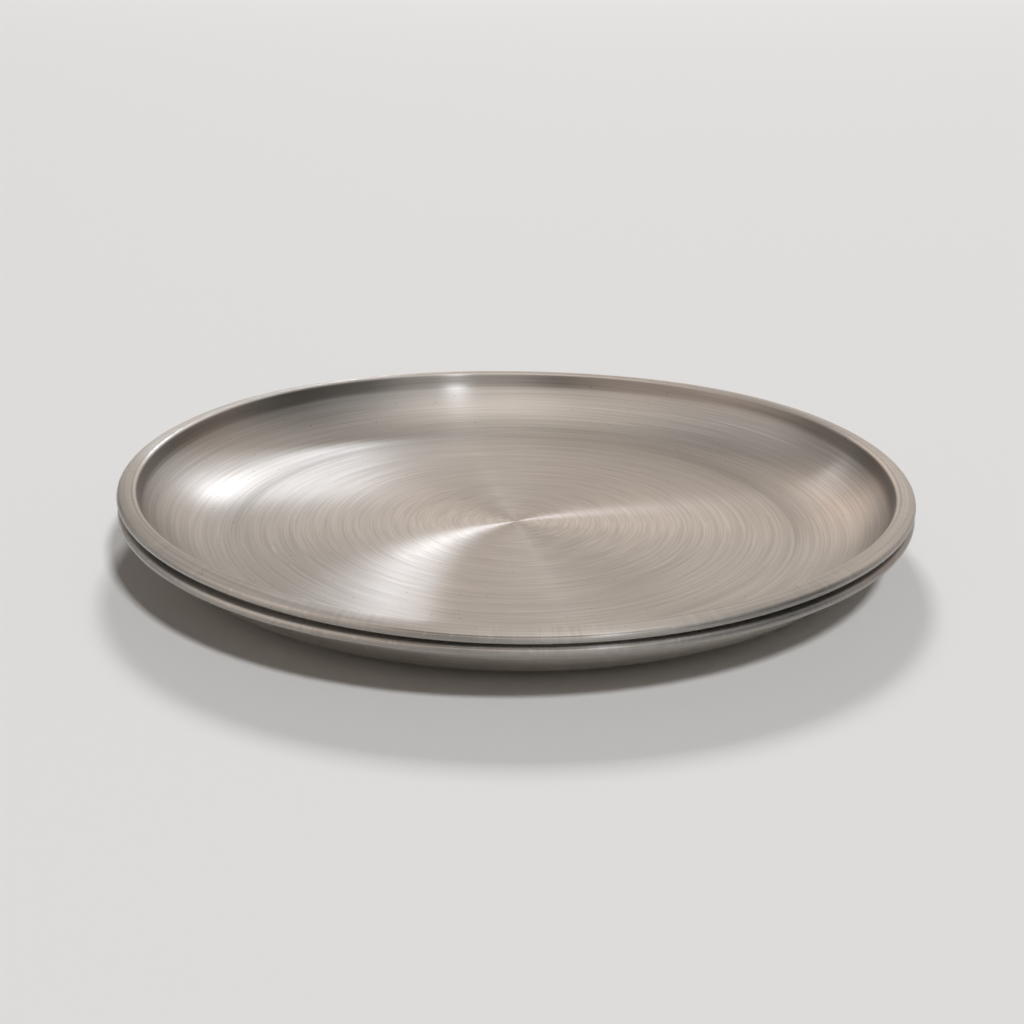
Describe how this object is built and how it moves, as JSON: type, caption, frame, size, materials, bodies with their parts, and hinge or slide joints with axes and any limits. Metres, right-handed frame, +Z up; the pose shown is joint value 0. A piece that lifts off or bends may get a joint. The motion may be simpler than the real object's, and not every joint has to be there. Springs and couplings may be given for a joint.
{
  "type": "thali plate",
  "caption": "Round brushed-steel thali plate with a flat floor, curved wall and flat rim with a curled edge, nested in another like it and lifting straight out.",
  "frame": {"origin": "centre of the lower plate's underside, on the surface that it stands on", "axes": "+Z up along the axis of both plates, the way the upper plate lifts; the picture is taken from the -Y side with +X to the right"},
  "size_m": [0.3, 0.3, 0.0278],
  "materials": {
    "steel": "satin, brushed in rings round the centre"
  },
  "bodies": {
    "lower_plate": {"lower_plate": "steel"},
    "upper_plate": {"upper_plate": "steel"}
  },
  "joints": [
    {"name": "plate_lift", "type": "slide", "parent": "lower_plate", "child": "upper_plate", "axis": [0, 0, 1], "range_m": [0, 0.05]}
  ]
}
